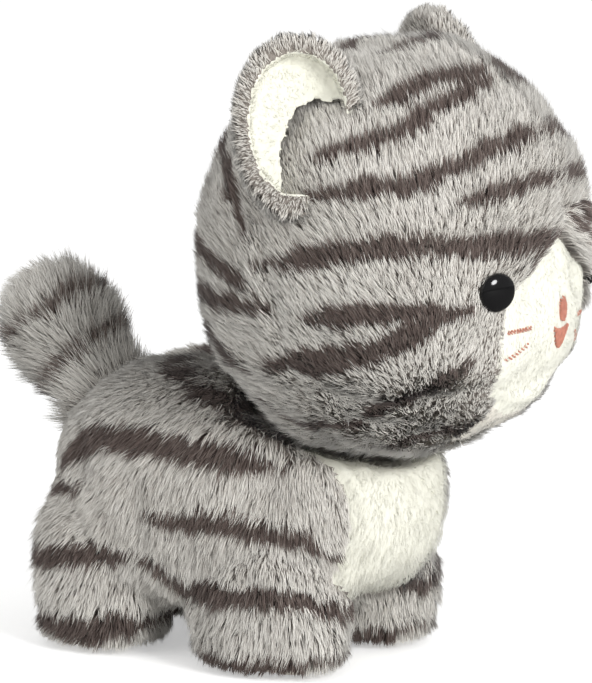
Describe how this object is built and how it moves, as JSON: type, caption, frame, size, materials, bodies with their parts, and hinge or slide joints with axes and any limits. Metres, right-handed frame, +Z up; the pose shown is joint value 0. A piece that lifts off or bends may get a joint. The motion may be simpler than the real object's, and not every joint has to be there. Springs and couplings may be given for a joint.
{
  "type": "plush cat",
  "caption": "Standing stuffed kitten with a large round head, cupped ears, short legs and a stubby raised tail, in striped grey pile with a cream face and chest.",
  "frame": {"origin": "on the floor under the middle of the toy's box", "axes": "+Z up; the kitten faces -Y, so its right side is at -X"},
  "size_m": [0.1452, 0.2118, 0.2143],
  "materials": {
    "tabby_pile": "long soft grey pile with dark stripes",
    "cream_pile": "short cream pile",
    "sole_pile": "short grey pile",
    "fibre_fill": "loose white polyester fill",
    "grey_thread": "grey sewing thread",
    "rose_thread": "salmon-pink satin stitch",
    "black_gloss": "polished black",
    "white_plastic": "moulded white"
  },
  "bodies": {
    "torso": {"body_side_left": "tabby_pile", "body_side_right": "tabby_pile", "chest_panel": "cream_pile", "belly_panel": "sole_pile", "body_stuffing": "fibre_fill", "front_left_leg": "tabby_pile", "front_left_leg_stuffing": "fibre_fill", "front_left_sole": "sole_pile", "front_right_leg": "tabby_pile", "front_right_leg_stuffing": "fibre_fill", "front_right_sole": "sole_pile", "rear_left_leg": "tabby_pile", "rear_left_leg_stuffing": "fibre_fill", "rear_left_sole": "sole_pile", "rear_right_leg": "tabby_pile", "rear_right_leg_stuffing": "fibre_fill", "rear_right_sole": "sole_pile"},
    "neck": {"neck_seam": "grey_thread"},
    "head": {"face_panel": "cream_pile", "head_side_left": "tabby_pile", "head_side_right": "tabby_pile", "head_back": "tabby_pile", "chin_gusset": "sole_pile", "head_stuffing": "fibre_fill", "eye_left": "black_gloss", "eye_right": "black_gloss", "eye_washer_left": "white_plastic", "eye_washer_right": "white_plastic", "nose_stitching": "rose_thread", "mouth_stitching": "rose_thread", "whisker_left_upper": "rose_thread", "whisker_left_lower": "rose_thread", "whisker_right_upper": "rose_thread", "whisker_right_lower": "rose_thread"},
    "ear_left": {"ear_left_back": "tabby_pile", "ear_left_lining": "cream_pile"},
    "ear_right": {"ear_right_back": "tabby_pile", "ear_right_lining": "cream_pile"},
    "tail_root": {"tail_seam": "grey_thread"},
    "tail": {"tail_cover": "tabby_pile", "tail_stuffing": "fibre_fill"}
  },
  "joints": [
    {"name": "head_turn", "type": "hinge", "parent": "torso", "child": "neck", "pos_m": [0.00057, -0.04239, 0.1395], "axis": [0, -0.3907, 0.9205], "range_deg": [-21, 9], "stiffness_Nm_per_rad": 0.3},
    {"name": "head_nod", "type": "hinge", "parent": "neck", "child": "head", "pos_m": [0.00057, -0.04239, 0.1395], "axis": [0.9945, 0.0962, 0.0408], "range_deg": [-6, 6], "stiffness_Nm_per_rad": 0.3},
    {"name": "ear_left_fold", "type": "hinge", "parent": "head", "child": "ear_left", "pos_m": [0.05255, -0.0323, 0.18062], "axis": [-0.4871, -0.4759, 0.7323], "range_deg": [-12, 12], "stiffness_Nm_per_rad": 0.01},
    {"name": "ear_right_fold", "type": "hinge", "parent": "head", "child": "ear_right", "pos_m": [-0.04991, -0.0422, 0.1836], "axis": [0.6105, -0.3699, 0.7004], "range_deg": [-12, 12], "stiffness_Nm_per_rad": 0.01},
    {"name": "tail_wag", "type": "hinge", "parent": "torso", "child": "tail_root", "pos_m": [0.00057, 0.07102, 0.0795], "axis": [0, -0.766, 0.6428], "range_deg": [-18, 18], "stiffness_Nm_per_rad": 0.03},
    {"name": "tail_lift", "type": "hinge", "parent": "tail_root", "child": "tail", "pos_m": [0.00057, 0.07102, 0.0795], "axis": [1, 0, 0], "range_deg": [-12, 12], "stiffness_Nm_per_rad": 0.03}
  ]
}
